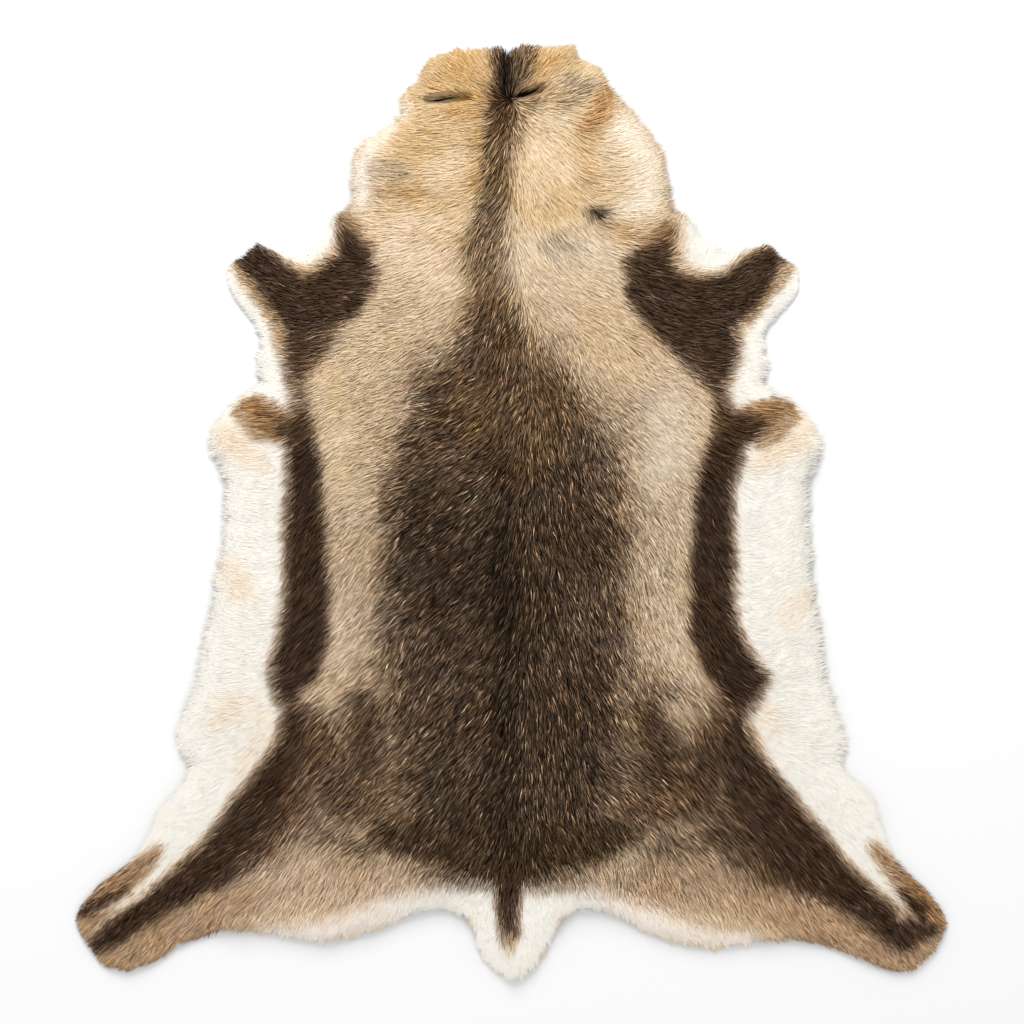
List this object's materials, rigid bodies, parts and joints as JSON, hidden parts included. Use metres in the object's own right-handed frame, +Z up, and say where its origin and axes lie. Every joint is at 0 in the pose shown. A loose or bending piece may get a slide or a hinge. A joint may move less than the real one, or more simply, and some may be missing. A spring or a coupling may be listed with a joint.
{
  "type": "reindeer hide",
  "caption": "Whole reindeer hide with its winter coat, laid flat hair side up: neck, short forelegs, pale flanks, spread hind legs and tail.",
  "frame": {"origin": "on the ground below the middle of the hide's box", "axes": "+Z up through the coat, +Y along the backbone to the neck end, +X to the right as seen from above"},
  "size_m": [1.087, 1.169, 0.0378],
  "materials": {
    "coat": "long straight hair, dark brown over the back, cream and white at the flanks",
    "flesh_side": "tanned suede"
  },
  "bodies": {
    "root": {"hide": "coat"}
  },
  "joints": []
}
